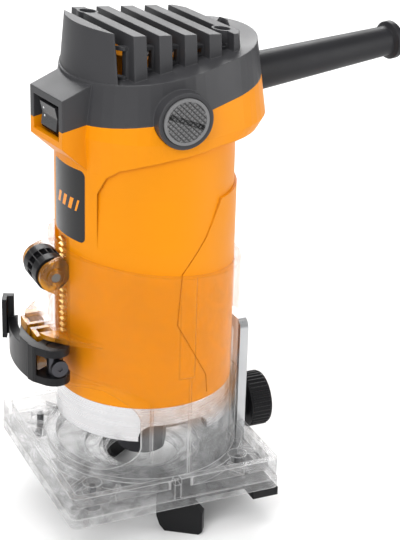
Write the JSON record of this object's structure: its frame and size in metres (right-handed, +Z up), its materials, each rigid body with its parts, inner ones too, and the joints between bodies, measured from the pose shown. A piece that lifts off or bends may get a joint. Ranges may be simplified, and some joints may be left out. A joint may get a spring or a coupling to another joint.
{
  "type": "trim router",
  "caption": "Compact trim router: motor unit in a clear clamp base, with cooling fins, front rocker switch, cord guard, brush caps and a vee guide under the base.",
  "frame": {"origin": "centre of the cutter opening, on the underside of the sub-base plate, on the barrel axis", "axes": "+Z up along the barrel axis from the base to the motor's top; -X is the clamp, depth roller and switch side; +X is the guide and cord side; Y across the base"},
  "size_m": [0.1773, 0.0908, 0.2117],
  "materials": {
    "clear_plastic": "clear moulded",
    "frosted_plastic": "frosted",
    "orange_plastic": "satin moulded",
    "grey_plastic": "fine texture",
    "black_plastic": "satin",
    "soft_rubber": "matt",
    "label_film": "gloss",
    "cast_alloy": "machined",
    "bright_steel": "bright",
    "plated_steel": "zinc plated",
    "black_steel": "black oxide",
    "core_steel": "laminated",
    "copper_wire": "enamelled",
    "brass": "turned",
    "carbon": "carbon"
  },
  "bodies": {
    "base": {"base_housing": "clear_plastic", "sub_base_plate": "frosted_plastic", "sub_base_screws": "black_steel", "clamp_nut": "plated_steel", "roller_pin": "plated_steel", "guide_insert": "brass", "clamp_bolt": "plated_steel", "lever_pivot_pin": "bright_steel"},
    "motor": {"motor_housing": "orange_plastic", "top_cap": "grey_plastic", "cap_screws": "plated_steel", "label_plate": "label_film", "depth_rack": "brass", "spindle_housing": "cast_alloy", "spindle_housing_screws": "plated_steel", "lower_bearing_outer": "bright_steel", "upper_bearing_outer": "bright_steel", "stator_core": "core_steel", "stator_coils": "copper_wire", "fan_baffle": "black_plastic", "brush_holders": "brass", "carbon_brushes": "carbon", "brush_springs": "plated_steel", "brush_caps": "grey_plastic", "switch_body": "black_plastic", "cord_guard": "soft_rubber", "cord_clamp": "black_plastic", "cord_clamp_screws": "plated_steel"},
    "spindle": {"armature_shaft": "bright_steel", "armature_core": "core_steel", "armature_coils": "copper_wire", "commutator": "copper_wire", "cooling_fan": "black_plastic", "collet_cone": "bright_steel", "collet_nut": "black_steel", "lower_bearing_inner": "bright_steel", "upper_bearing_inner": "bright_steel", "lower_bearing_balls": "bright_steel", "upper_bearing_balls": "bright_steel"},
    "rocker": {"switch_rocker": "black_plastic"},
    "roller": {"depth_roller": "black_plastic"},
    "lever": {"clamp_lever": "black_plastic"},
    "guide": {"guide_bracket": "bright_steel", "guide_fence": "black_plastic", "fence_screws": "black_steel"},
    "knob": {"guide_knob": "black_plastic", "knob_stud": "plated_steel", "knob_washer": "plated_steel"}
  },
  "joints": [
    {"name": "depth_slide", "type": "slide", "parent": "base", "child": "motor", "axis": [0, 0, 1], "range_m": [-0.008, 0.02]},
    {"name": "roller_turn", "type": "hinge", "parent": "base", "child": "roller", "pos_m": [-0.0416, 0, 0.0935], "axis": [0, -1, 0], "range_deg": [-75, 181]},
    {"name": "spindle_spin", "type": "hinge", "parent": "motor", "child": "spindle", "pos_m": [0, 0, 0.1], "axis": [0, 0, 1], "continuous": true},
    {"name": "lever_swing", "type": "hinge", "parent": "base", "child": "lever", "pos_m": [-0.0445, -0.017, 0.06], "axis": [0, 0, 1], "range_deg": [0, 110]},
    {"name": "rocker_tilt", "type": "hinge", "parent": "motor", "child": "rocker", "pos_m": [-0.03929, -0.00693, 0.159], "axis": [-0.1736, 0.9848, 0], "range_deg": [0, 9]},
    {"name": "guide_slide", "type": "slide", "parent": "base", "child": "guide", "axis": [0, 0, 1], "range_m": [-0.03, 0]},
    {"name": "knob_turn", "type": "hinge", "parent": "base", "child": "knob", "pos_m": [0.045, 0, 0.017], "axis": [1, 0, 0], "range_deg": [0, 720]}
  ],
  "couplings": [
    {"joint": "roller_turn", "follows": "depth_slide", "rad_per_m": 156.25}
  ]
}
